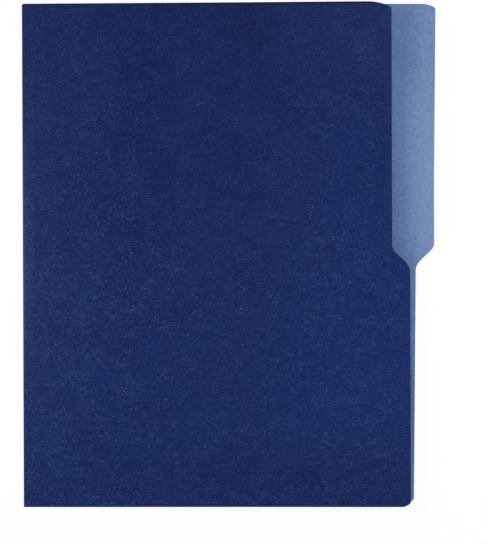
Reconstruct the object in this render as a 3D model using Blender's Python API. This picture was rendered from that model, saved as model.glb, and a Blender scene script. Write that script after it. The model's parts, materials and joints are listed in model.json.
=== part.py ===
"""Letter-size file folder: one sheet of two-tone card, creased once and lying closed on its back leaf.

Seen from above, the fold runs along Y at the left, the half-cut tab stands out to +X at the upper
right, and the front leaf lies on top with its free edge a little raised. Metres, +Z up. The
underside rests at Z = 0, and the middle of the folder's bounding box stands over the origin.

The card bends only at its creases. Each crease is a node of its own between two stiff panels:
back_leaf, fold_crease, inner_expansion_strip, inner_score_crease, outer_expansion_strip,
outer_score_crease, front_leaf.
"""

import math

import bmesh
import bpy

MM = 0.001

# Sheet of card
CARD_THICKNESS = 0.28 * MM
FOLD_LENGTH = 295.3 * MM
SEAM = 0.05 * MM  # slit left between a crease and a panel

# Main fold: two short flat legs joined by a rounded bend
BEND_INNER_RADIUS = 0.2 * MM
LEG_CLEARANCE = 0.07 * MM  # keeps a panel's end off its neighbour when the fold turns past flat
GAPE = math.radians(2.04)  # the angle between the leaves at rest
BEND_STEPS = 16

# Expansion strips beside the fold, and the score lines that end them
INNER_STRIP_WIDTH = 6.0 * MM  # from the outside of the fold to the middle of the inner score
OUTER_STRIP_WIDTH = 6.2 * MM  # between the middles of the two scores
SCORE_WIDTH = 0.8 * MM
SCORE_DEPTH = 0.08 * MM

# Back leaf, measured from the axis of the bend at mid length
BACK_DEPTH = 230.8 * MM  # to the free edge beside the tab
TAB_REACH = 10.4 * MM  # how far the tab stands out past that edge
BACK_EDGE_SKEW = 3.2 * MM  # the free edge runs this much further out at the head than at the foot
BACK_SHOULDER_Y = -0.5 * MM
TAB_CORNER = (3.3 * MM, 8.4 * MM)  # along the tab's edge, and along the head

# Front leaf, measured the same way
FRONT_DEPTH = 226.1 * MM  # to the free edge below the tab
FRONT_RECESS = 10.5 * MM  # how far the edge is cut back beside the tab
FRONT_SHOULDER_Y = -1.8 * MM
HEAD_CORNER = (4.2 * MM, 14.0 * MM)  # along the free edge, and along the head

# Shapes that both leaves share
FOOT_CORNER = (5.0 * MM, 3.5 * MM)  # along the foot, and along the free edge
SHOULDER_LENGTH = 17.4 * MM  # along the free edge, from one straight run to the next
SHOULDER_STEPS = 12
CORNER_STEPS = 6
CORNER_FULLNESS = 1.6  # 1 is a straight bevel and 2 a quarter of an ellipse

# Colours in linear light
NAVY = (0.0144, 0.0273, 0.1140)
LIGHT_BLUE = (0.0976, 0.1651, 0.3231)
CARD_ROUGHNESS = 0.75

OUTSIDE, INSIDE = 0, 1  # material indices on every node

BEND_OUTER_RADIUS = BEND_INNER_RADIUS + CARD_THICKNESS
CREASE_LEG = BEND_OUTER_RADIUS + LEG_CLEARANCE
PANEL_START = CREASE_LEG + SEAM
MID_CARD = BEND_INNER_RADIUS + CARD_THICKNESS / 2
INNER_SCORE = INNER_STRIP_WIDTH - BEND_OUTER_RADIUS
OUTER_SCORE = INNER_SCORE + OUTER_STRIP_WIDTH
SCORE_GAP = SCORE_WIDTH / 2 + SEAM  # from the middle of a score to the panels beside it
HALF_LENGTH = FOLD_LENGTH / 2


def clear_scene():
    for obj in list(bpy.data.objects):
        bpy.data.objects.remove(obj, do_unlink=True)


def card_material(name, colour):
    material = bpy.data.materials.new(name)
    material.use_nodes = True
    shader = material.node_tree.nodes["Principled BSDF"]
    shader.inputs["Base Color"].default_value = (*colour, 1.0)
    shader.inputs["Roughness"].default_value = CARD_ROUGHNESS
    shader.inputs["Metallic"].default_value = 0.0
    return material


def rounded_corner(tip, heading, leaving, run_in, run_out):
    """Points that cut a corner, from run_in before its tip to run_out after it, both directions given."""
    centre = (
        tip[0] - heading[0] * run_in + leaving[0] * run_out,
        tip[1] - heading[1] * run_in + leaving[1] * run_out,
    )
    points = []
    for step in range(CORNER_STEPS + 1):
        turn = step / CORNER_STEPS * math.pi / 2
        along = run_in * math.sin(turn) ** (2 / CORNER_FULLNESS)
        back = run_out * max(0.0, math.cos(turn)) ** (2 / CORNER_FULLNESS)
        points.append((
            centre[0] + heading[0] * along - leaving[0] * back,
            centre[1] + heading[1] * along - leaving[1] * back,
        ))
    return points


def leaf_outline(start, foot_depth, head_depth, skew, shoulder_y, head_corner):
    """A leaf seen from above, anticlockwise: straight at the crease, with an S-shaped shoulder."""

    def edge(depth, y):
        return depth + skew * y / FOLD_LENGTH

    foot_run, foot_rise = FOOT_CORNER
    head_rise, head_run = head_corner
    points = [(start, -HALF_LENGTH)]
    foot = (edge(foot_depth, -HALF_LENGTH), -HALF_LENGTH)
    points += rounded_corner(foot, (1, 0), (0, 1), foot_run, foot_rise)
    for step in range(SHOULDER_STEPS + 1):
        share = step / SHOULDER_STEPS
        y = shoulder_y + (share - 0.5) * SHOULDER_LENGTH
        swing = (1 - math.cos(math.pi * share)) / 2
        points.append((edge(foot_depth + (head_depth - foot_depth) * swing, y), y))
    head = (edge(head_depth, HALF_LENGTH), HALF_LENGTH)
    points += rounded_corner(head, (0, 1), (-1, 0), head_rise, head_run)
    points.append((start, HALF_LENGTH))
    return points


def card_object(name, bm, outside):
    """Turns a closed bmesh into an object, its inner faces light blue: those that outside() rejects."""
    bmesh.ops.recalc_face_normals(bm, faces=bm.faces)
    for face in bm.faces:
        face.material_index = OUTSIDE if outside(face) else INSIDE
    mesh = bpy.data.meshes.new(name)
    bm.to_mesh(mesh)
    bm.free()
    mesh.materials.append(card_material(name + "_outside", NAVY))
    mesh.materials.append(card_material(name + "_inside", LIGHT_BLUE))
    obj = bpy.data.objects.new(name, mesh)
    bpy.context.scene.collection.objects.link(obj)
    return obj


def flat_panel(name, outline, height, inside_up):
    """A flat panel of card whose lower face lies at the given height."""
    bm = bmesh.new()
    lower = bm.faces.new([bm.verts.new((x, y, height)) for x, y in outline])
    raised = bmesh.ops.extrude_face_region(bm, geom=[lower])["geom"]
    corners = [item for item in raised if isinstance(item, bmesh.types.BMVert)]
    bmesh.ops.translate(bm, verts=corners, vec=(0, 0, CARD_THICKNESS))
    inward = 1 if inside_up else -1
    return card_object(name, bm, lambda face: face.normal.z * inward < 0.5)


def extruded_profile(name, profile, outside):
    """A cross-section of (x, z) points, carried along the whole length of the fold."""
    bm = bmesh.new()
    foot = bm.faces.new([bm.verts.new((x, -HALF_LENGTH, z)) for x, z in profile])
    carried = bmesh.ops.extrude_face_region(bm, geom=[foot])["geom"]
    corners = [item for item in carried if isinstance(item, bmesh.types.BMVert)]
    bmesh.ops.translate(bm, verts=corners, vec=(0, FOLD_LENGTH, 0))
    return card_object(name, bm, outside)


def strip_outline(low, high):
    return [(low, -HALF_LENGTH), (high, -HALF_LENGTH), (high, HALF_LENGTH), (low, HALF_LENGTH)]


def bend_profile():
    """The fold's section round its axis: lower leg, bend, upper leg, and back along the inside."""

    def side(radius):
        points = [(CREASE_LEG, -radius)]
        for step in range(BEND_STEPS + 1):
            angle = math.radians(270) - (math.pi - GAPE) * step / BEND_STEPS
            points.append((radius * math.cos(angle), radius * math.sin(angle)))
        along, up = math.cos(GAPE), math.sin(GAPE)
        points.append((CREASE_LEG * along - radius * up, CREASE_LEG * up + radius * along))
        return points

    return side(BEND_OUTER_RADIUS) + side(BEND_INNER_RADIUS)[::-1]


def outside_of_bend(face):
    """A face of the bend is inside the fold where it looks back at the middle of the legs."""
    centre = face.calc_center_median()
    return face.normal.x * (centre.x - CREASE_LEG / 2) + face.normal.z * centre.z > 0


def score_profile():
    """A pressed line across the card: a shallow valley outside and the same rise inside."""
    half, top = SCORE_WIDTH / 2, CARD_THICKNESS / 2
    return [
        (-half, -top), (0, -top - SCORE_DEPTH), (half, -top),
        (half, top), (0, top - SCORE_DEPTH), (-half, top),
    ]


def back_leaf():
    outline = leaf_outline(
        PANEL_START, BACK_DEPTH, BACK_DEPTH + TAB_REACH, BACK_EDGE_SKEW, BACK_SHOULDER_Y, TAB_CORNER
    )
    leaf = flat_panel("back_leaf", outline, -BEND_OUTER_RADIUS, inside_up=True)
    reach = max(x for x, _ in outline)
    leaf.location = ((BEND_OUTER_RADIUS - reach) / 2, 0, BEND_OUTER_RADIUS)
    return leaf


def fold_crease(leaf):
    crease = extruded_profile("fold_crease", bend_profile(), outside_of_bend)
    crease.parent = leaf
    return crease


def inner_strip(crease):
    outline = strip_outline(PANEL_START, INNER_SCORE - SCORE_GAP)
    strip = flat_panel("inner_expansion_strip", outline, BEND_INNER_RADIUS, inside_up=False)
    strip.parent = crease
    strip.rotation_euler.y = -GAPE
    return strip


def outer_strip(strip):
    """Its origin, like that of each crease and panel past the fold, is on its joint at mid card."""
    outline = strip_outline(SCORE_GAP, OUTER_STRIP_WIDTH - SCORE_GAP)
    next_strip = flat_panel("outer_expansion_strip", outline, -CARD_THICKNESS / 2, inside_up=False)
    next_strip.parent = strip
    next_strip.location = (INNER_SCORE, 0, MID_CARD)
    return next_strip


def score_crease(name, carrier, location):
    crease = extruded_profile(name, score_profile(), lambda face: face.normal.z > -0.5)
    crease.parent = carrier
    crease.location = location
    return crease


def front_leaf(strip):
    outline = leaf_outline(
        SCORE_GAP,
        FRONT_DEPTH - OUTER_SCORE,
        FRONT_DEPTH - FRONT_RECESS - OUTER_SCORE,
        0.0,
        FRONT_SHOULDER_Y,
        HEAD_CORNER,
    )
    leaf = flat_panel("front_leaf", outline, -CARD_THICKNESS / 2, inside_up=False)
    leaf.parent = strip
    leaf.location = (OUTER_STRIP_WIDTH, 0, 0)
    return leaf


def build():
    clear_scene()
    back = back_leaf()
    fold = fold_crease(back)
    inner = inner_strip(fold)
    score_crease("inner_score_crease", inner, (INNER_SCORE, 0, MID_CARD))
    outer = outer_strip(inner)
    score_crease("outer_score_crease", outer, (OUTER_STRIP_WIDTH, 0, 0))
    front_leaf(outer)
    bpy.context.view_layer.update()


build()
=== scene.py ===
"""Every piece is a finely divided sheet of card with rounded cut edges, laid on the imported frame. A point
of the card is named by u, its distance from the axis of the fold, v, its place along the fold, and w,
its height above mid card towards the navy face. Metres, +Z up.

The materials work in millimetres of the unfolded card. There, across is 0 where the front card leaves
the fold, above 0 on the front card and below 0 on the bend and the back card, and along is v.
"""

import json
import math

import bmesh
import bpy
from mathutils import Matrix, Vector


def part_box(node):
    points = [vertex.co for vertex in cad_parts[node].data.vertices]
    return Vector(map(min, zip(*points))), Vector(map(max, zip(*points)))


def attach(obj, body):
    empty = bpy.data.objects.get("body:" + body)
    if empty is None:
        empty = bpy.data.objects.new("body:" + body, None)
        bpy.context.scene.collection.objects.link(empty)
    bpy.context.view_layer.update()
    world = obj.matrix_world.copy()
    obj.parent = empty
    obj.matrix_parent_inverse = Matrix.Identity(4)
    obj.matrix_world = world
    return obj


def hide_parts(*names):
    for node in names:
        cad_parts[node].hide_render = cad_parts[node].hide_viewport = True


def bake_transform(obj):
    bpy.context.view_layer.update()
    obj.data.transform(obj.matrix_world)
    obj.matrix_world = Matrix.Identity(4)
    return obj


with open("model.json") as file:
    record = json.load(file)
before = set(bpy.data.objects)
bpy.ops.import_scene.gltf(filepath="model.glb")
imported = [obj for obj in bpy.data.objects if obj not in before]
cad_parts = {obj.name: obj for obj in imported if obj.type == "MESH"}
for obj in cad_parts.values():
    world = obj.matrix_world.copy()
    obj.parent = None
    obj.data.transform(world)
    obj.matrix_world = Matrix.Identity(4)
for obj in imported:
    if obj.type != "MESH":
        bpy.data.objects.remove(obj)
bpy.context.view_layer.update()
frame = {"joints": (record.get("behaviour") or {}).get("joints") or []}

MM = 0.001
JOINTS = {joint["name"]: joint for joint in frame["joints"]}
FOLD_X, _, FOLD_Z = JOINTS["fold_opening"]["pos_m"]
SCORE_X, _, SCORE_Z = JOINTS["outer_score_bend"]["pos_m"]
GAPE = -math.radians(JOINTS["fold_opening"]["range_deg"][0])
BACK_LOW, BACK_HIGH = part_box("back_leaf")
_, FRONT_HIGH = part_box("front_leaf")

# The sheet
CARD = BACK_HIGH.z - BACK_LOW.z
HALF_LENGTH = BACK_HIGH.y
OUTER_RADIUS = FOLD_Z - BACK_LOW.z
INNER_RADIUS = OUTER_RADIUS - CARD
MID_RADIUS = (OUTER_RADIUS + INNER_RADIUS) / 2
PANEL_START = BACK_LOW.x - FOLD_X
FOLD_ARC = MID_RADIUS * (math.pi - GAPE)
CUT_ROUNDING = 0.05 * MM

# Scores, measured from the axis of the fold
OUTER_SCORE = (SCORE_X - FOLD_X) * math.cos(GAPE) + (SCORE_Z - FOLD_Z) * math.sin(GAPE)
OUTER_STRIP = 6.2 * MM
INNER_SCORE = OUTER_SCORE - OUTER_STRIP
SCORE_HALF = 0.45 * MM
SCORE_DEPTH = 0.08 * MM

# Free edges
BACK_SKEW = 3.2 * MM  # how much further out the back card's edge runs at the head, tab aside
TAB_REACH = 10.4 * MM
TAB_FLARE = (0.35 * MM, 40 * MM)  # how far the tab bulges beside its shoulder, and along what length
FRONT_RECESS = 10.5 * MM
FRONT_EASE = 0.3 * MM  # how far the front card stands out past its solid

# Shoulders: the middle along the fold, the length, and the lengths of the rounded foot and head ends
BACK_SHOULDER = (-1.5 * MM, 15.6 * MM, 6.2 * MM, 4.4 * MM)
FRONT_SHOULDER = (-2.7 * MM, 15.7 * MM, 6.9 * MM, 4.2 * MM)

# Corners: the lengths cut off the free edge and off the end, and a fullness of 1 for a straight bevel
# or 2 for a quarter of an ellipse
TAB_CORNER = (3.1 * MM, 7.8 * MM, 1.7)
HEAD_CORNER = (4.1 * MM, 13.0 * MM, 1.6)
BACK_FOOT_CORNER = (3.4 * MM, 5.0 * MM, 1.3)
FRONT_FOOT_CORNER = (2.8 * MM, 5.0 * MM, 1.6)
SPINE_CORNER = (1.0 * MM, 1.2 * MM, 2.0)
SPINE_WEAR_REACH = 5 * MM  # how far along the fold the spine's worn corner reaches

# Distances from the axis of the fold: the front card's edge on the foot side of its shoulder, and the
# line of the tab's edge at mid length
FRONT_DEPTH = (FRONT_HIGH.x - FOLD_X + INNER_RADIUS * math.sin(GAPE)) / math.cos(GAPE) + FRONT_EASE
TAB_DEPTH = BACK_HIGH.x - FOLD_X - BACK_SKEW * (HALF_LENGTH - TAB_CORNER[0]) / (2 * HALF_LENGTH)

# How far the front card stands off its plane, at distances from the fold. It sags less than the space
# between the leaves of the closed folder, and hardly bulges, so that it also lies level when opened flat.
BOW = (
    (0.0, 0.0),
    (38 * MM, 0.03 * MM),
    (118 * MM, -0.25 * MM),
    (206 * MM, 0.03 * MM),
    (228 * MM, 0.03 * MM),
)

# How finely the card is divided
ROW_SPACING = 5 * MM  # along the fold
SHOULDER_SPACING = 0.6 * MM
CORNER_STEPS = 12
COLUMN_SPACING = 3 * MM  # from the crease to the free edge
STRIP_SPACING = 1 * MM
INNER_SCORE_SPACING = 0.09 * MM
OUTER_SCORE_SPACING = 0.06 * MM
BEND_SPACING = 0.04 * MM
BEND_LEG_SPACING = 0.1 * MM
CUT_BORDER = 0.4 * MM  # width of the row or column beside a cut edge
NO_INSET = (0.0, 0.0)
SHARP_ANGLE = math.radians(35)

# Paper tooth, fibres and flecks
TOOTH_SPACING = 0.22
FIBRE_TURNS = (8.0, 52.0, 101.0, 146.0)  # the directions that fibres lie in, in degrees
FIBRE_SHIFT = 37.0  # between the patterns of two directions, so that they differ
FIBRE_RELIEF = 0.6  # how far fibres stand out, beside the tooth
BUMP_STRENGTH = 0.6
FACE_BUMP = 0.03 * MM
CUT_BUMP = 0.04 * MM
FEWEST_FLECKS = 0.85  # the share of the flecks where they lie thinnest
HAZE = 0.1  # how much paler the card turns as its flecks thin out

# Edges, places of wear, and places of painted light and shade on the unfolded card
FOOT_ALONG, HEAD_ALONG = -HALF_LENGTH / MM, HALF_LENGTH / MM
TAB_EDGE_ACROSS = -(FOLD_ARC + TAB_DEPTH) / MM
PALEST_FOLD_ALONG = 3.0  # the middle of the stretch beside the fold that is palest, partly worn and partly painted sheen
# the middle of the painted shade at the head of the navy face
SHADED_HEAD_ACROSS = 110.0
SHADED_HEAD_EDGE_ACROSS = 150.0
LIT_TAB_ALONG = 45.0
SHADED_TAB_INWARD = 13.5  # from the tab's edge
STRIP_SHADE_ALONG = -90.0
NO_FREE_EDGE = 100.0  # the distance from a free edge, on pieces that have none

# Stage and light. A lamp is its place, and the share of full white that it adds at the origin.
WHITE = (1.0, 1.0, 1.0, 1.0)
FLOOR_RADIUS = 4.0
FLOOR_SEGMENTS = 96
FLOOR_DROP = 0.05 * MM
FLOOR_GLOW = 0.9  # how much of the floor's white is its own, as the camera sees it
SKY_STRENGTH = 0.45
LAMP_SIZE = 0.3
LAMPS = {
    "lamp_left": ((-0.5, 0.1, 0.4), 0.27),
    "lamp_right": ((0.6, 0.1, 0.45), 0.3),
}

# Camera: the folder's photographed outline gives its place, turn and focal length
IMAGE_WIDTH, IMAGE_HEIGHT = 486, 543
SENSOR = 36.0
FOCAL_PIXELS = 1359.9
CAMERA_AT = (FOLD_X + 115.66 * MM, -6.2 * MM, 800.8 * MM)
CAMERA_YAW = math.radians(0.9361)
CAMERA_PITCH = math.radians(0.2562)
CAMERA_ROLL = math.radians(0.1974)
CAMERA_NEAR, CAMERA_FAR = 0.05, 20.0


def linear(red, green, blue):
    """A colour in linear light from its 0 to 255 screen values."""
    out = []
    for value in (red, green, blue):
        share = value / 255
        out.append(share / 12.92 if share <= 0.04045 else ((share + 0.055) / 1.055) ** 2.4)
    return (*out, 1.0)


NAVY_DEEP = linear(10, 26, 75)
NAVY_CLOUD = linear(13, 32, 83)
NAVY_COOL = linear(12, 40, 98)
NAVY_SHADE = linear(7, 19, 60)
NAVY_WARM = linear(18, 26, 88)
NAVY_TEAL = linear(13, 41, 86)
NAVY_CALM = linear(20, 42, 92)
NAVY_FLECK = linear(74, 92, 149)
NAVY_GRAIN = linear(0, 17, 70)
NAVY_PALE = linear(68, 84, 140)
NAVY_CREST = linear(108, 94, 128)
NAVY_EDGE_SHADE = linear(22, 14, 42)
BLUE_DEEP = linear(87, 116, 167)
BLUE_PALE = linear(93, 122, 172)
BLUE_LIT = linear(119, 140, 176)
BLUE_DULL = linear(100, 118, 150)
BLUE_STRIP_SHADE = linear(50, 90, 142)
BLUE_COOL = linear(93, 130, 162)
BLUE_WARM = linear(107, 124, 180)
BLUE_PALEST = linear(149, 176, 219)
BLUE_SPECK = linear(64, 94, 136)
BLUE_SHADE = linear(54, 76, 122)
BLUE_RIM = linear(146, 154, 178)
CUT_DARK = linear(62, 76, 120)
CUT_PALE = linear(120, 134, 170)


# Shader nodes


def new_material(name):
    material = bpy.data.materials.new(name)
    material.use_nodes = True
    return material, material.node_tree, material.node_tree.nodes["Principled BSDF"]


def link(tree, value, socket):
    """Sets a socket from another node's output, or from a plain value."""
    if isinstance(value, bpy.types.NodeSocket):
        tree.links.new(value, socket)
    elif value is not None:
        socket.default_value = value


def calculate(tree, operation, first, second=None, clamp=False):
    node = tree.nodes.new("ShaderNodeMath")
    node.operation = operation
    node.use_clamp = clamp
    link(tree, first, node.inputs[0])
    link(tree, second, node.inputs[1])
    return node.outputs[0]


def combined(tree, operation, values):
    """The values, joined one after another by the same operation."""
    result, *others = values
    for value in others:
        result = calculate(tree, operation, result, value)
    return result


def total(tree, *values):
    return combined(tree, "ADD", values)


def product(tree, *values):
    return combined(tree, "MULTIPLY", values)


def away_from(tree, value, middle):
    """How far value is from middle, on either side."""
    return calculate(tree, "ABSOLUTE", calculate(tree, "SUBTRACT", value, middle))


def ramp(tree, value, low, high, at_low=0.0, at_high=1.0):
    """Goes smoothly from at_low to at_high as value goes from low to high, and stays level beyond."""
    node = tree.nodes.new("ShaderNodeMapRange")
    node.interpolation_type = "SMOOTHSTEP"
    link(tree, value, node.inputs["Value"])
    node.inputs["From Min"].default_value = low
    node.inputs["From Max"].default_value = high
    node.inputs["To Min"].default_value = at_low
    node.inputs["To Max"].default_value = at_high
    return node.outputs["Result"]


def ramps(tree, *spans):
    """The product of several ramps. A span is a value, its low and high ends, and the shares at them."""
    return product(tree, *[ramp(tree, *span) for span in spans])


def mixed(tree, share, first, second):
    """The first colour, with the given share of the second."""
    node = tree.nodes.new("ShaderNodeMix")
    node.data_type = "RGBA"
    link(tree, share, node.inputs["Factor"])
    link(tree, first, node.inputs["A"])
    link(tree, second, node.inputs["B"])
    return node.outputs["Result"]


def washed(tree, colour, ink, *spans):
    """The colour, with a share of ink that is the product of the ramps."""
    return mixed(tree, ramps(tree, *spans), colour, ink)


def card_place(tree, offset=(0.0, 0.0, 0.0), turn=0.0, stretch=(1.0, 1.0, 1.0)):
    """The point of the card in millimetres, moved, turned about w and stretched."""
    attribute = tree.nodes.new("ShaderNodeAttribute")
    attribute.attribute_name = "card"
    mapping = tree.nodes.new("ShaderNodeMapping")
    mapping.inputs["Location"].default_value = offset
    mapping.inputs["Rotation"].default_value = (0.0, 0.0, math.radians(turn))
    mapping.inputs["Scale"].default_value = stretch
    tree.links.new(attribute.outputs["Vector"], mapping.inputs["Vector"])
    return mapping.outputs["Vector"]


def across_and_along(tree):
    node = tree.nodes.new("ShaderNodeSeparateXYZ")
    tree.links.new(card_place(tree), node.inputs["Vector"])
    return node.outputs["X"], node.outputs["Y"]


def from_free_edge(tree):
    """Distance from the leaf's free edge, in millimetres."""
    attribute = tree.nodes.new("ShaderNodeAttribute")
    attribute.attribute_name = "from_free_edge"
    return attribute.outputs["Fac"]


def noise(tree, place, spacing, detail, roughness, distortion=0.0):
    """Soft noise whose blobs are about the given number of millimetres apart."""
    node = tree.nodes.new("ShaderNodeTexNoise")
    tree.links.new(place, node.inputs["Vector"])
    node.inputs["Scale"].default_value = 1 / spacing
    node.inputs["Detail"].default_value = detail
    node.inputs["Roughness"].default_value = roughness
    node.inputs["Distortion"].default_value = distortion
    return node.outputs["Fac"]


def texture(tree, offset, spacing, detail, roughness):
    """Noise over the card, moved by the offset so that it doesn't repeat another noise."""
    return noise(tree, card_place(tree, offset), spacing, detail, roughness)


def fibres(tree, offset, length, width, low, high):
    """Short pale strokes lying in several directions, as fibres do in the face of the card."""
    strokes = []
    for number, turn in enumerate(FIBRE_TURNS, start=1):
        shifted = tuple(part + FIBRE_SHIFT * number for part in offset)
        place = card_place(tree, shifted, turn, (width / length, 1.0, 1.0))
        pattern = noise(tree, place, width, detail=1.0, roughness=0.4, distortion=0.6)
        strokes.append(ramp(tree, pattern, low, high))
    return calculate(tree, "MINIMUM", total(tree, *strokes), 1.0)


def finish_card(tree, shader, colour, roughness, specular, place, raised, depth):
    """Gives a card material its colour and gloss, with paper tooth and what is raised in its normal."""
    tree.links.new(colour, shader.inputs["Base Color"])
    tree.links.new(roughness, shader.inputs["Roughness"])
    shader.inputs["Specular IOR Level"].default_value = specular
    tooth = noise(tree, place, TOOTH_SPACING, detail=3.0, roughness=0.6)
    bump = tree.nodes.new("ShaderNodeBump")
    bump.inputs["Strength"].default_value = BUMP_STRENGTH
    bump.inputs["Distance"].default_value = depth
    tree.links.new(total(tree, tooth, product(tree, raised, FIBRE_RELIEF)), bump.inputs["Height"])
    tree.links.new(bump.outputs["Normal"], shader.inputs["Normal"])


# Materials


def navy_ground(tree, across, along):
    """Two close navies in soft clouds, cooler towards the foot and the free edge, and darker at both ends as
    painted shade.
    """
    clouds = texture(tree, offset=(0.0, 0.0, 0.0), spacing=28.0, detail=3.0, roughness=0.55)
    colour = washed(tree, NAVY_DEEP, NAVY_CLOUD, (clouds, 0.35, 0.65))
    colour = washed(tree, colour, NAVY_COOL, (along, -100.0, 60.0, 0.38, 0.0))
    outer = (across, 120.0, 200.0, 0.0, 0.4)
    colour = washed(tree, colour, NAVY_COOL, outer, (along, 40.0, 120.0, 1.0, 0.0))
    # Painted shade: darker at the foot towards the free edge, and at the head around its middle.
    outer = (across, 60.0, 200.0, 0.0, 0.42)
    colour = washed(tree, colour, NAVY_SHADE, outer, (along, -130.0, -98.0, 1.0, 0.0))
    from_head_shade = away_from(tree, across, SHADED_HEAD_ACROSS)
    colour = washed(tree, colour, NAVY_SHADE, (from_head_shade, 30.0, 75.0, 0.25, 0.0), (along, 100.0, 135.0))
    tint = texture(tree, offset=(70.0, 33.0, 12.0), spacing=4.5, detail=3.0, roughness=0.6)
    drift = (along, -40.0, 60.0, 1.0, 0.7)
    colour = washed(tree, colour, NAVY_TEAL, (tint, 0.5, 0.7, 0.0, 0.33), drift)
    return washed(tree, colour, NAVY_WARM, (tint, 0.3, 0.5, 0.33, 0.0), drift)


def fleck_crowding(tree, across, along):
    """How thickly the flecks lie: most beside the fold and towards the free edge, and least between."""
    from_palest = away_from(tree, along, PALEST_FOLD_ALONG)
    beside_fold = ramps(tree, (across, 30.0, 120.0, 0.4, 0.0), (from_palest, 50.0, 120.0, 1.0, 0.6))
    outer = ramps(tree, (across, 135.0, 200.0, 0.0, 0.2), (along, -80.0, 80.0, 0.5, 1.7))
    return total(tree, beside_fold, outer, FEWEST_FLECKS)


def navy_flecks(tree, colour, along, strokes, gathering, crowding):
    """Pale fibres, specks and mottle, fewer beside the cut edge, and dark grain over them."""
    specks = texture(tree, offset=(60.0, 20.0, 8.0), spacing=0.9, detail=2.0, roughness=0.5)
    mottle = texture(tree, offset=(31.0, 4.0, 9.0), spacing=2.6, detail=3.0, roughness=0.6)
    grain = texture(tree, offset=(45.0, 71.0, 22.0), spacing=0.66, detail=2.0, roughness=0.5)
    flecks = total(
        tree,
        product(tree, strokes, ramp(tree, gathering, 0.38, 0.68, 0.16, 0.56)),
        ramp(tree, specks, 0.66, 0.78, 0.0, 0.4),
        ramp(tree, mottle, 0.45, 0.75, 0.0, 0.12),
    )
    from_cut = from_free_edge(tree)
    thinned = ramps(tree, (along, -45.0, 80.0, 1.1, 0.75), (from_cut, 1.0, 6.0, 0.3, 1.0))
    colour = washed(tree, colour, NAVY_CALM, (from_cut, 1.0, 6.0, 0.7, 0.0))
    colour = mixed(tree, product(tree, flecks, crowding, thinned), colour, NAVY_FLECK)
    return washed(tree, colour, NAVY_GRAIN, (grain, 0.3, 0.42, 0.95, 0.0))


def navy_wear_and_light(tree, colour, across, along, crowding):
    """Paler beside the fold, partly worn and partly painted sheen; paler on the scores; paler out at the
    head as painted light; a haze where flecks are few; and the fold's crest, partly worn and partly a
    painted highlight.
    """
    from_palest = away_from(tree, along, PALEST_FOLD_ALONG)
    palest_stretch = (from_palest, 20.0, 100.0, 1.0, 0.1)
    pale_wear_and_light = [
        # Paler beside the fold: partly wear, partly painted sheen.
        ramps(tree, (across, -1.0, 8.0, 0.2, 0.0), palest_stretch),
        ramps(tree, (across, 5.0, 75.0, 1.0, 0.0), (from_palest, 60.0, 140.0, 0.07, 0.03)),
        # Painted light: paler towards the free edge at the head.
        ramps(tree, (across, 130.0, 205.0, 0.0, 0.085), (along, 60.0, 135.0, 0.2, 1.0)),
        product(tree, calculate(tree, "SUBTRACT", 1.0, crowding), HAZE),
    ]
    for score, shine in ((INNER_SCORE, 0.03), (OUTER_SCORE, 0.04)):
        pale_wear_and_light.append(ramp(tree, away_from(tree, across, score / MM), 0.1, 0.5, shine, 0.0))
    colour = mixed(tree, total(tree, *pale_wear_and_light), colour, NAVY_PALE)
    # The fold's crest, paler: partly wear, partly a painted highlight.
    return washed(tree, colour, NAVY_CREST, (across, -0.2, 0.9, 0.36, 0.0), palest_stretch)


def navy_ends(tree, colour, across, along):
    """Painted shade along the head, as a dark line beside the cut, and a thinner line of it along the foot.
    """
    head = total(
        tree,
        ramp(tree, along, HEAD_ALONG - 2.8, HEAD_ALONG - 0.5, 0.0, 0.4),
        ramp(tree, along, HEAD_ALONG - 1.3, HEAD_ALONG - 0.4, 0.0, 0.45),
    )
    strength = ramp(tree, away_from(tree, across, SHADED_HEAD_EDGE_ACROSS), 20.0, 110.0, 1.0, 0.4)
    foot = ramp(tree, along, FOOT_ALONG + 0.3, FOOT_ALONG + 1.0, 0.5, 0.0)
    return mixed(tree, total(tree, product(tree, head, strength), foot), colour, NAVY_EDGE_SHADE)


def navy_face():
    """The outside: navy card with pale fibre flecks in loose clouds, paler along the fold from wear and
    painted sheen, with painted light and shade.
    """
    material, tree, shader = new_material("navy_card")
    across, along = across_and_along(tree)
    gathering = texture(tree, offset=(11.0, 7.0, 3.0), spacing=8.0, detail=4.0, roughness=0.65)
    strokes = fibres(tree, offset=(5.0, 9.0, 2.0), length=1.25, width=0.56, low=0.58, high=0.82)
    crowding = fleck_crowding(tree, across, along)
    colour = navy_ground(tree, across, along)
    colour = navy_flecks(tree, colour, along, strokes, gathering, crowding)
    colour = navy_wear_and_light(tree, colour, across, along, crowding)
    colour = navy_ends(tree, colour, across, along)
    place = card_place(tree)
    roughness = ramp(tree, gathering, 0.3, 0.7, 0.66, 0.8)
    finish_card(tree, shader, colour, roughness, specular=0.09, place=place, raised=strokes, depth=FACE_BUMP)
    return material


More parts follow.
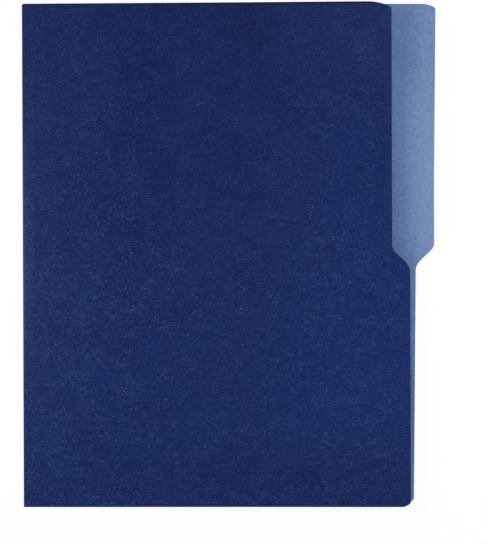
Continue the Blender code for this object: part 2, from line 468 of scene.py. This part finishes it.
def tab_light_and_tone(tree, colour, across, along):
    """The tab, paler along its edge as painted light and with painted shade near the head, and painted shade
    beside the free edge under the front card.
    """
    inward = calculate(tree, "SUBTRACT", across, TAB_EDGE_ACROSS)
    # Painted light: the tab paler towards its edge, away from the front card's shade, most part way towards
    # the head.
    from_lit_middle = away_from(tree, along, LIT_TAB_ALONG)
    lit_edge = (inward, 0.0, 26.0, 0.84, 0.0)
    colour = washed(tree, colour, BLUE_LIT, lit_edge, (from_lit_middle, 15.0, 90.0, 1.0, 0.55))
    colour = washed(tree, colour, BLUE_DULL, (inward, 0.0, 20.0, 0.3, 0.0), (along, 60.0, 120.0))
    # Painted light: the inside paler away from the tab's edge, and more so towards the head, lifting the
    # front card's shade.
    colour = washed(tree, colour, BLUE_PALEST, (inward, 0.0, 22.0, 0.03, 0.13), (along, -40.0, 130.0))
    # Painted shade: a darker hollow in the tab near the head.
    from_shaded = away_from(tree, inward, SHADED_TAB_INWARD)
    colour = washed(tree, colour, BLUE_SHADE, (from_shaded, 0.0, 11.5, 0.27, 0.0), (along, 84.0, 112.0))
    # Painted shade beside the back card's free edge, under the front card's edge, in the stretch towards the
    # foot.
    from_strip_shade = away_from(tree, along, STRIP_SHADE_ALONG)
    beside_cut = (from_free_edge(tree), 6.0, 14.0, 1.0, 0.0)
    return washed(tree, colour, BLUE_STRIP_SHADE, (from_strip_shade, 10.0, 45.0, 0.3, 0.0), beside_cut)


def blue_flecks(tree, colour, strokes):
    """A drift of cooler and warmer blue, pale fibres and specks, and dark dots and grain."""
    tint = texture(tree, offset=(15.0, 44.0, 27.0), spacing=5.0, detail=4.0, roughness=0.65)
    mottle = texture(tree, offset=(81.0, 24.0, 19.0), spacing=2.8, detail=3.0, roughness=0.6)
    specks = texture(tree, offset=(33.0, 52.0, 14.0), spacing=0.8, detail=2.0, roughness=0.5)
    dots = texture(tree, offset=(20.0, 80.0, 50.0), spacing=1.8, detail=3.0, roughness=0.6)
    grain = texture(tree, offset=(55.0, 12.0, 35.0), spacing=0.8, detail=2.0, roughness=0.5)
    colour = washed(tree, colour, BLUE_COOL, (tint, 0.5, 0.7, 0.0, 0.35))
    colour = washed(tree, colour, BLUE_WARM, (tint, 0.3, 0.5, 0.35, 0.0))
    pale = total(
        tree,
        product(tree, strokes, 0.12),
        ramp(tree, mottle, 0.45, 0.75, 0.0, 0.14),
        ramp(tree, specks, 0.64, 0.75, 0.0, 0.6),
    )
    colour = mixed(tree, pale, colour, BLUE_PALEST)
    colour = washed(tree, colour, BLUE_SPECK, (dots, 0.54, 0.72, 0.0, 0.28))
    return washed(tree, colour, BLUE_SPECK, (grain, 0.27, 0.37, 0.5, 0.0))


def blue_edges(tree, colour, along):
    """A line of painted shade along the head, and the pale rim of the free edge, fainter near the foot."""
    from_cut = from_free_edge(tree)
    head_shade = (along, HEAD_ALONG - 1.0, HEAD_ALONG - 0.3, 0.0, 0.4)
    colour = washed(tree, colour, BLUE_SHADE, head_shade, (from_cut, 12.0, 24.0))
    return washed(tree, colour, BLUE_RIM, (from_cut, 0.2, 0.8, 0.5, 0.0), (along, -90.0, -40.0, 0.4, 1.0))


def blue_creases(tree, colour, across, strokes):
    """The fold as a dark line and the scores as two pale ones, each a little ragged."""
    lines = (
        (-FOLD_ARC / 2, 1.3, 0.7, BLUE_SHADE),
        (INNER_SCORE, 0.4, 0.45, BLUE_PALEST),
        (OUTER_SCORE, 0.4, 0.45, BLUE_PALEST),
    )
    ragged = (strokes, 0.0, 0.8, 0.7, 1.0)
    for middle, half, amount, ink in lines:
        beside = away_from(tree, across, middle / MM)
        colour = washed(tree, colour, ink, (beside, 0.2 * half, half, amount, 0.0), ragged)
    return colour


def blue_face():
    """The inside: light blue card with small pale and dark flecks, and painted light and shade along the
    tab.
    """
    material, tree, shader = new_material("light_blue_card")
    offset = (140.0, 60.0, 30.0)
    across, along = across_and_along(tree)
    clouds = texture(tree, offset, spacing=14.0, detail=3.0, roughness=0.55)
    strokes = fibres(tree, offset, length=1.7, width=0.8, low=0.54, high=0.8)
    colour = washed(tree, BLUE_DEEP, BLUE_PALE, (clouds, 0.35, 0.65))
    colour = tab_light_and_tone(tree, colour, across, along)
    colour = blue_flecks(tree, colour, strokes)
    colour = blue_edges(tree, colour, along)
    colour = blue_creases(tree, colour, across, strokes)
    place = card_place(tree, offset)
    roughness = ramp(tree, clouds, 0.3, 0.7, 0.72, 0.84)
    finish_card(tree, shader, colour, roughness, specular=0.15, place=place, raised=strokes, depth=FACE_BUMP)
    return material


def cut_face():
    """The die-cut edge: bare fibres in thin layers between the two colours."""
    material, tree, shader = new_material("cut_card")
    offset = (9.0, 90.0, 40.0)
    place = card_place(tree, offset)
    layered = card_place(tree, offset, stretch=(0.15, 0.15, 1.0))
    layers = noise(tree, layered, spacing=0.09, detail=2.0, roughness=0.6)
    tufts = noise(tree, place, spacing=0.5, detail=3.0, roughness=0.6)
    colour = washed(tree, CUT_DARK, CUT_PALE, (layers, 0.3, 0.7))
    colour = washed(tree, colour, CUT_DARK, (tufts, 0.5, 0.7, 0.0, 0.5))
    roughness = ramp(tree, tufts, 0.3, 0.7, 0.8, 0.95)
    finish_card(tree, shader, colour, roughness, specular=0.1, place=place, raised=tufts, depth=CUT_BUMP)
    return material


CARD_MATERIALS = (navy_face(), blue_face(), cut_face())
NAVY_SIDE, BLUE_SIDE, CUT_SIDE = range(len(CARD_MATERIALS))


# Adding to the scene


def add_object(name, data):
    thing = bpy.data.objects.new(name, data)
    bpy.context.scene.collection.objects.link(thing)
    return thing


def add_mesh(name, bm, materials):
    """Turns a bmesh into an object that carries the materials."""
    mesh = bpy.data.meshes.new(name)
    bm.to_mesh(mesh)
    bm.free()
    for material in materials:
        mesh.materials.append(material)
    return add_object(name, mesh)


# Shape of the card


def ease(share):
    """A share from 0 to 1 that starts and ends gently."""
    return (1 - math.cos(math.pi * min(1.0, max(0.0, share)))) / 2


def even(low, high, spacing):
    """Values from low to high, about the given spacing apart."""
    count = max(1, round((high - low) / spacing))
    return [low + (high - low) * step / count for step in range(count + 1)]


def bow(u):
    """How far the front card stands off its plane at distance u from the fold."""
    for (near, low), (far, high) in zip(BOW, BOW[1:]):
        if u <= far:
            return low + (high - low) * ease((u - near) / (far - near))
    return BOW[-1][1]


def dent(u):
    """The pressed valley of a score: the depth of the card below its own plane."""
    depth = 0.0
    for middle in (INNER_SCORE, OUTER_SCORE):
        depth += SCORE_DEPTH * ease(1 - abs(u - middle) / SCORE_HALF)
    return depth


def on_back(u, v, w):
    """The back card lies flat, with its navy face down."""
    return (FOLD_X + u, v, BACK_LOW.z + CARD / 2 - w)


def on_front(u, v, w):
    """The front card rises from the fold at the gape."""
    off = MID_RADIUS + w + bow(u) - dent(u)
    return (
        FOLD_X + u * math.cos(GAPE) - off * math.sin(GAPE),
        v,
        FOLD_Z + u * math.sin(GAPE) + off * math.cos(GAPE),
    )


def on_fold(s, v, w):
    """The bend, by the distance s along mid card from the start of the front card's leg."""
    if s <= -FOLD_ARC:
        return on_back(-FOLD_ARC - s, v, w)
    if s >= 0:
        return on_front(s, v, w)
    angle = math.pi / 2 + GAPE - s / MID_RADIUS
    radius = MID_RADIUS + w
    return (FOLD_X + radius * math.cos(angle), v, FOLD_Z + radius * math.sin(angle))


def along_front(u):
    """The distance across the unfolded card, for a point of the front card or of the bend."""
    return u


def along_back(u):
    """The same for a point of the back card, which lies beyond the bend."""
    return -FOLD_ARC - u


def shoulder_swing(v, middle, length, foot_bend, head_bend):
    """A straight slant with rounded ends, from 0 on its foot side to 1 on its head side."""
    from_foot = min(length, max(0.0, v - middle + length / 2))
    from_head = length - from_foot
    slope = 1 / (length - (foot_bend + head_bend) / 2)
    if from_foot < foot_bend:
        return slope * from_foot ** 2 / (2 * foot_bend)
    if from_head < head_bend:
        return 1 - slope * from_head ** 2 / (2 * head_bend)
    return slope * (from_foot - foot_bend / 2)


def corner_cut(distance, rise, run, fullness):
    """How far a rounded corner draws an edge in, at a distance along it from its end."""
    share = min(1.0, 1 - distance / rise)
    if share <= 0:
        return 0.0
    return run * (1 - (1 - share ** fullness) ** (1 / fullness))


def free_edge(v, foot_depth, head_depth, skew, shoulder, foot_corner, head_corner):
    """The distance of a leaf's free edge from the fold, at v along it."""
    swing = shoulder_swing(v, *shoulder)
    depth = foot_depth + (head_depth - foot_depth) * swing + skew * v / (2 * HALF_LENGTH)
    depth -= corner_cut(HALF_LENGTH + v, *foot_corner)
    return depth - corner_cut(HALF_LENGTH - v, *head_corner)


def corner_rows(corner):
    """Distances from an end of the leaf that follow its rounded corner closely."""
    rise, _, fullness = corner
    turns = [step / CORNER_STEPS * math.pi / 2 for step in range(CORNER_STEPS + 1)]
    return [rise * (1 - math.sin(turn) ** (2 / fullness)) for turn in turns]


def leaf_rows(shoulder, foot_corner, head_corner):
    """Places along the fold, close together at the corners and the shoulder."""
    middle, length = shoulder[:2]
    low, high = middle - length / 2, middle + length / 2
    rows = [-HALF_LENGTH + distance for distance in corner_rows(foot_corner)]
    rows += even(-HALF_LENGTH + foot_corner[0], low, ROW_SPACING)
    rows += even(low, high, SHOULDER_SPACING)
    rows += even(high, HALF_LENGTH - head_corner[0], ROW_SPACING)
    rows += [HALF_LENGTH - distance for distance in corner_rows(head_corner)]
    return sorted(set(round(row, 7) for row in rows))


def leaf_grid(start, rows, edge):
    """Rows of (u, v) from the crease to the free edge, with a narrow last column beside the cut."""
    count = round((max(edge(v) for v in rows) - start) / COLUMN_SPACING)
    grid = []
    for v in rows:
        reach = edge(v) - CUT_BORDER - start
        columns = [start + reach * step / count for step in range(count + 1)]
        grid.append([(u, v) for u in columns + [edge(v)]])
    return grid


def strip_grid(columns):
    """Rows of (u, v) over the whole fold, with a narrow row at each cut end."""
    inner = even(-HALF_LENGTH + CUT_BORDER, HALF_LENGTH - CUT_BORDER, ROW_SPACING)
    return [[(u, v) for u in columns] for v in [-HALF_LENGTH, *inner, HALF_LENGTH]]


def outline_of(grid):
    """The border of a grid as (row, column) pairs, once round."""
    last_row, last_column = len(grid) - 1, len(grid[0]) - 1
    border = [(0, column) for column in range(last_column)]
    border += [(row, last_column) for row in range(last_row)]
    border += [(last_row, column) for column in range(last_column, 0, -1)]
    border += [(row, 0) for row in range(last_row, 0, -1)]
    return border


def insets_of(grid, border, cut_end):
    """How far the faces draw in from each border point, so that a cut edge is rounded and a seam isn't."""
    last_row, last_column = len(grid) - 1, len(grid[0]) - 1
    points = [grid[row][column] for row, column in border]
    insets = {}
    for number, (row, column) in enumerate(border):
        if column == 0 or (column == last_column and not cut_end):
            drawn_in = math.copysign(CUT_ROUNDING, -points[number][1]) if row in (0, last_row) else 0.0
            insets[row, column] = Vector((0.0, drawn_in))
        else:
            before, after = points[number - 1], points[(number + 1) % len(points)]
            inward = Vector((before[1] - after[1], after[0] - before[0]))
            insets[row, column] = inward.normalized() * CUT_ROUNDING
    return insets


def join_rows(bm, first, second, side):
    """Faces between two rows of points that run side by side."""
    for step in range(len(first) - 1):
        corners = (first[step], first[step + 1], second[step + 1], second[step])
        bm.faces.new(corners).material_index = side


def card_piece(name, grid, place, along, cut_end=False):
    """A closed sheet of card over a grid of (u, v): navy face, light blue face, and a rim between them.

    place gives a point's position, and along its distance over the unfolded card, for the materials.
    """
    bm = bmesh.new()
    card_layer = bm.verts.layers.float_vector.new("card")
    edge_layer = bm.verts.layers.float.new("from_free_edge")
    border = outline_of(grid)
    insets = insets_of(grid, border, cut_end)

    def point(row, column, w, inward=NO_INSET):
        u, v = grid[row][column]
        u, v = u + inward[0], v + inward[1]
        vert = bm.verts.new(place(u, v, w))
        vert[card_layer] = Vector((along(u), v, w)) / MM
        vert[edge_layer] = (grid[row][-1][0] - u) / MM if cut_end else NO_FREE_EDGE
        return vert

    def face_points(w):
        return [
            [point(row, column, w, insets.get((row, column), NO_INSET)) for column in range(len(line))]
            for row, line in enumerate(grid)
        ]

    outside, inside = face_points(CARD / 2), face_points(-CARD / 2)
    for side, points in ((NAVY_SIDE, outside), (BLUE_SIDE, inside)):
        for lower, upper in zip(points, points[1:]):
            join_rows(bm, lower, upper, side)
    rim = CARD / 2 - CUT_ROUNDING
    rings = [
        [outside[row][column] for row, column in border],
        [point(row, column, rim) for row, column in border],
        [point(row, column, -rim) for row, column in border],
        [inside[row][column] for row, column in border],
    ]
    for side, first, second in zip((NAVY_SIDE, CUT_SIDE, BLUE_SIDE), rings, rings[1:]):
        join_rows(bm, first + first[:1], second + second[:1], side)
    bmesh.ops.recalc_face_normals(bm, faces=bm.faces)
    piece = add_mesh(name, bm, CARD_MATERIALS)
    piece.data.shade_smooth()
    piece.data.set_sharp_from_angle(angle=SHARP_ANGLE)
    return piece


# Pieces


def tab_flare(v):
    """How far the tab's edge bulges out beside the shoulder."""
    middle, length = BACK_SHOULDER[:2]
    reach, fades_over = TAB_FLARE
    beyond = v - (middle + length / 2)
    return reach * shoulder_swing(v, *BACK_SHOULDER) * ease(1 - beyond / fades_over)


def back_card():
    rows = leaf_rows(BACK_SHOULDER, BACK_FOOT_CORNER, TAB_CORNER)

    def edge(v):
        foot_depth = TAB_DEPTH - TAB_REACH
        depth = free_edge(v, foot_depth, TAB_DEPTH, BACK_SKEW, BACK_SHOULDER, BACK_FOOT_CORNER, TAB_CORNER)
        return depth + tab_flare(v)

    piece = card_piece("back_card", leaf_grid(PANEL_START, rows, edge), on_back, along_back, cut_end=True)
    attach(piece, "back_leaf")
    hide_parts("back_leaf")


def front_card():
    rows = leaf_rows(FRONT_SHOULDER, FRONT_FOOT_CORNER, HEAD_CORNER)

    def edge(v):
        head_depth = FRONT_DEPTH - FRONT_RECESS
        return free_edge(v, FRONT_DEPTH, head_depth, 0.0, FRONT_SHOULDER, FRONT_FOOT_CORNER, HEAD_CORNER)

    start = OUTER_SCORE + SCORE_HALF
    piece = card_piece("front_card", leaf_grid(start, rows, edge), on_front, along_front, cut_end=True)
    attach(piece, "front_leaf")
    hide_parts("front_leaf")


def spine_card():
    """Both expansion strips with the score between them."""
    score = even(INNER_SCORE - SCORE_HALF, INNER_SCORE + SCORE_HALF, INNER_SCORE_SPACING)
    columns = even(PANEL_START, score[0], STRIP_SPACING)[:-1] + score
    columns += even(score[-1], OUTER_SCORE - SCORE_HALF, STRIP_SPACING)[1:]
    piece = card_piece("spine_strips_card", strip_grid(columns), on_front, along_front)
    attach(piece, "spine_strips")
    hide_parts("inner_expansion_strip", "inner_score_crease", "outer_expansion_strip")


def outer_score():
    columns = even(OUTER_SCORE - SCORE_HALF, OUTER_SCORE + SCORE_HALF, OUTER_SCORE_SPACING)
    piece = card_piece("outer_score_card", strip_grid(columns), on_front, along_front)
    start = on_front(columns[0], 0.0, 0.0)
    end = on_front(columns[-1], 0.0, 0.0)
    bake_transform(piece)
    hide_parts("outer_score_crease")


def worn_end(s, v):
    """Draws the head end of the bend in, as the corner of the spine wears round."""
    from_spine = on_fold(s, v, 0.0)[0] - FOLD_X + MID_RADIUS
    near_end = 1 - (HALF_LENGTH - v) / SPINE_WEAR_REACH
    return v - corner_cut(from_spine, *SPINE_CORNER) * max(0.0, near_end)


def fold_card():
    """The bend of the spine."""
    arc = even(-FOLD_ARC, 0.0, BEND_SPACING)
    leg = even(0.0, PANEL_START, BEND_LEG_SPACING)[1:]
    columns = [-FOLD_ARC - u for u in reversed(leg)] + arc + leg
    grid = [[(s, worn_end(s, v)) for s, v in line] for line in strip_grid(columns)]
    piece = card_piece("fold_card", grid, on_fold, along_front)
    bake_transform(piece)
    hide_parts("fold_crease")


# Stage, light and camera


def seen_directly(tree):
    """1 for rays from the camera and for those that metal or glass passes on, else 0."""
    rays = tree.nodes.new("ShaderNodeLightPath").outputs
    seen = calculate(tree, "ADD", rays["Is Camera Ray"], rays["Is Glossy Ray"])
    return calculate(tree, "ADD", seen, rays["Is Transmission Ray"], clamp=True)


def floor_white():
    """White paper that the camera sees as partly lit from behind, so that shadows on it stay faint."""
    material, tree, shader = new_material("floor_white")
    shader.inputs["Base Color"].default_value = WHITE
    shader.inputs["Roughness"].default_value = 1.0
    shader.inputs["Specular IOR Level"].default_value = 0.0
    glow = tree.nodes.new("ShaderNodeEmission")
    glow.inputs["Color"].default_value = WHITE
    glow.inputs["Strength"].default_value = 1.0
    blend = tree.nodes.new("ShaderNodeMixShader")
    tree.links.new(product(tree, seen_directly(tree), FLOOR_GLOW), blend.inputs["Fac"])
    tree.links.new(shader.outputs["BSDF"], blend.inputs[1])
    tree.links.new(glow.outputs["Emission"], blend.inputs[2])
    tree.links.new(blend.outputs["Shader"], tree.nodes["Material Output"].inputs["Surface"])
    return material


def floor():
    bm = bmesh.new()
    bmesh.ops.create_circle(bm, cap_ends=True, segments=FLOOR_SEGMENTS, radius=FLOOR_RADIUS)
    plane = add_mesh("floor", bm, [floor_white()])
    plane.location.z = -FLOOR_DROP


def soft_lamp(name, place, share):
    """A square lamp aimed at the origin, where it adds the given share of full white to a level surface."""
    towards = -Vector(place)
    sine = -towards.normalized().z
    data = bpy.data.lights.new(name, "AREA")
    data.shape = "SQUARE"
    data.size = LAMP_SIZE
    data.energy = share * math.pi ** 2 * towards.length_squared / sine
    lamp = add_object(name, data)
    lamp.location = place
    lamp.rotation_euler = towards.to_track_quat("-Z", "Y").to_euler()


def sky():
    """An even white dome that lights the folder softly, though it is seen as plain white."""
    world = bpy.data.worlds.new("studio")
    world.use_nodes = True
    tree = world.node_tree
    background = tree.nodes["Background"]
    background.inputs["Color"].default_value = WHITE
    shown = ramp(tree, seen_directly(tree), 0.0, 1.0, SKY_STRENGTH, 1.0)
    tree.links.new(shown, background.inputs["Strength"])
    bpy.context.scene.world = world


def camera():
    data = bpy.data.cameras.new("camera")
    data.sensor_fit = "AUTO"
    data.sensor_width = SENSOR
    data.lens = FOCAL_PIXELS * SENSOR / max(IMAGE_WIDTH, IMAGE_HEIGHT)
    data.clip_start = CAMERA_NEAR
    data.clip_end = CAMERA_FAR
    eye = add_object("camera", data)
    turn = Matrix.Rotation(CAMERA_ROLL, 3, "Z") @ Matrix.Rotation(CAMERA_PITCH, 3, "X")
    turn = turn @ Matrix.Rotation(CAMERA_YAW, 3, "Y")
    eye.matrix_world = Matrix.LocRotScale(Vector(CAMERA_AT), turn.transposed().to_quaternion(), None)
    bpy.context.scene.camera = eye


back_card()
fold_card()
spine_card()
outer_score()
front_card()
floor()
sky()
for lamp_name, (lamp_place, lamp_share) in LAMPS.items():
    soft_lamp(lamp_name, lamp_place, lamp_share)
camera()
bpy.context.scene.view_settings.view_transform = "Standard"
